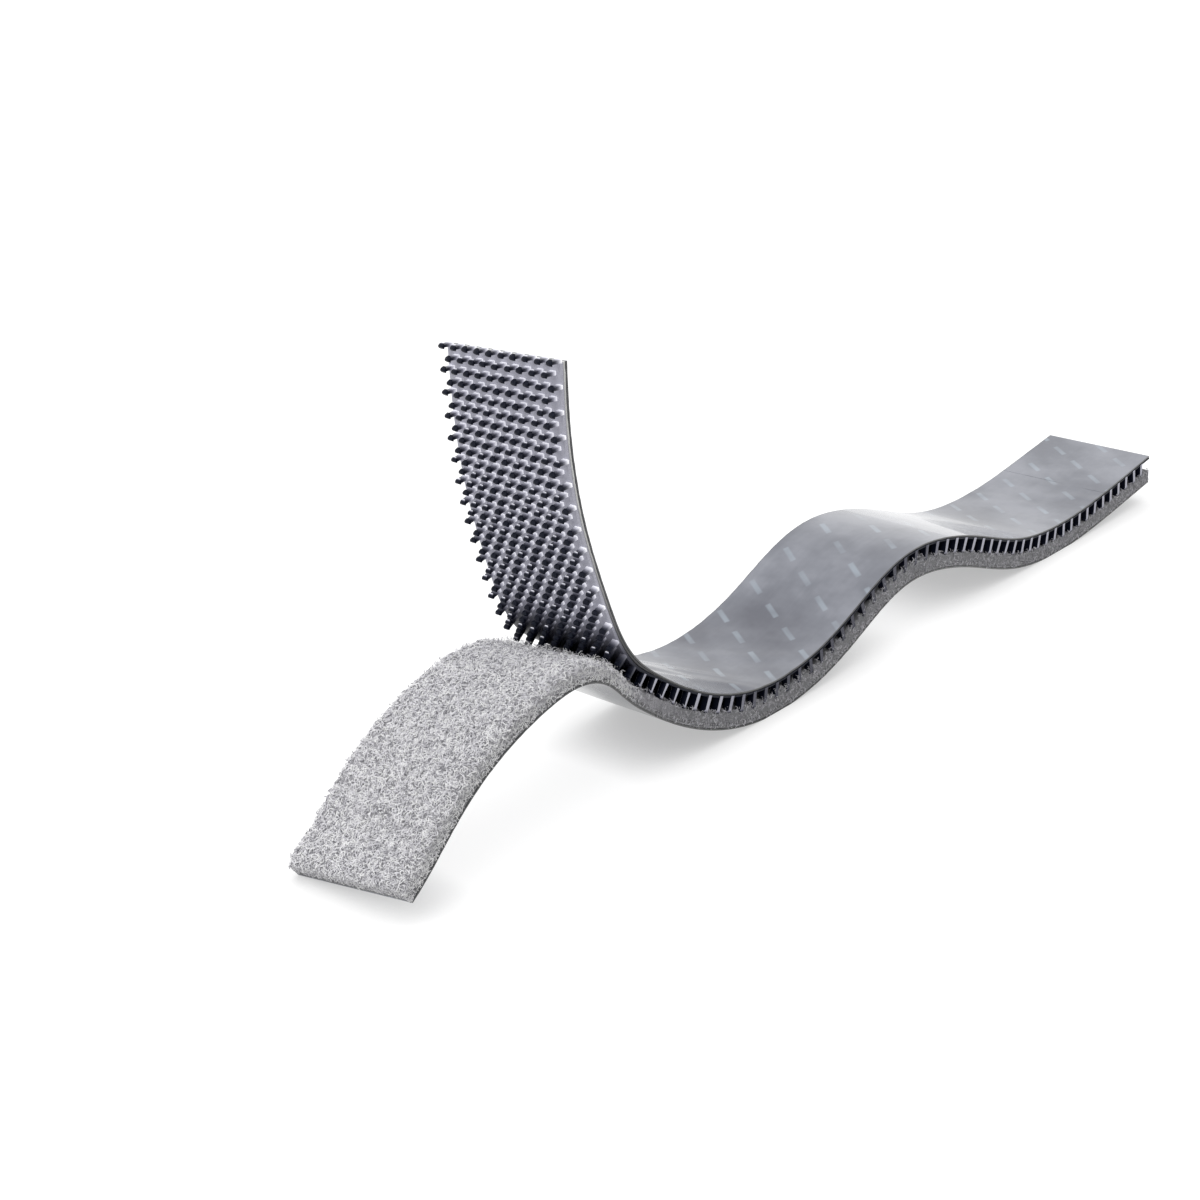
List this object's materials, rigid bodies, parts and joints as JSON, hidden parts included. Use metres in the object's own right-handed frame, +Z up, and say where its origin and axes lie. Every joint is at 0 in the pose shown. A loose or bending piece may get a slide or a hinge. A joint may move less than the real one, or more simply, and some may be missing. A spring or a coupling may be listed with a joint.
{
  "type": "hook and loop tape",
  "caption": "Length of hook and loop fastening tape, each face on its adhesive and release liner, closed together and peeled apart at one end into two flaps.",
  "frame": {"origin": "on the table, below the middle of the whole length of tape", "axes": "+X along the tape from the peeled end to the cut end, +Y across the tape, +Z up from the table"},
  "size_m": [0.2476, 0.0272, 0.0783],
  "materials": {
    "hooks": "satin",
    "adhesive": "matte",
    "liner": "gloss",
    "pile": "matte",
    "cloth": "matte"
  },
  "bodies": {
    "closed_strip": {"hook_moulding": "hooks", "hook_adhesive": "adhesive", "hook_liner": "liner", "loop_pile": "pile", "loop_cloth": "cloth", "loop_adhesive": "adhesive", "loop_liner": "liner", "hook_moulding_bend": "hooks", "hook_adhesive_bend": "adhesive", "hook_liner_bend": "liner", "loop_pile_bend": "pile", "loop_cloth_bend": "cloth", "loop_adhesive_bend": "adhesive", "loop_liner_bend": "liner"},
    "hook_flap": {"hook_moulding_flap": "hooks", "hook_adhesive_flap": "adhesive", "hook_liner_flap": "liner"},
    "loop_flap": {"loop_pile_flap": "pile", "loop_cloth_flap": "cloth", "loop_adhesive_flap": "adhesive", "loop_liner_flap": "liner"},
    "hook_lead": {"hook_liner_lead": "liner"},
    "loop_lead": {"loop_liner_lead": "liner"}
  },
  "joints": [
    {"name": "hook_peel", "type": "hinge", "parent": "closed_strip", "child": "hook_flap", "pos_m": [-0.07075, 0.00085, 0.02837], "axis": [0, 1, 0], "range_deg": [-25, 75], "deforming": ["hook_moulding_bend", "hook_adhesive_bend", "hook_liner_bend"]},
    {"name": "loop_peel", "type": "hinge", "parent": "closed_strip", "child": "loop_flap", "pos_m": [-0.07596, 0.00064, 0.02301], "axis": [0, 1, 0], "range_deg": [-30, 15], "deforming": ["loop_pile_bend", "loop_cloth_bend", "loop_adhesive_bend", "loop_liner_bend"]},
    {"name": "hook_liner_peel", "type": "hinge", "parent": "closed_strip", "child": "hook_lead", "pos_m": [0.1011, 0.00089, 0.00807], "axis": [0, -1, 0], "range_deg": [0, 80]},
    {"name": "loop_liner_peel", "type": "hinge", "parent": "closed_strip", "child": "loop_lead", "pos_m": [0.10198, 0.00089, 0.00148], "axis": [0, 1, 0], "range_deg": [0, 60]}
  ]
}
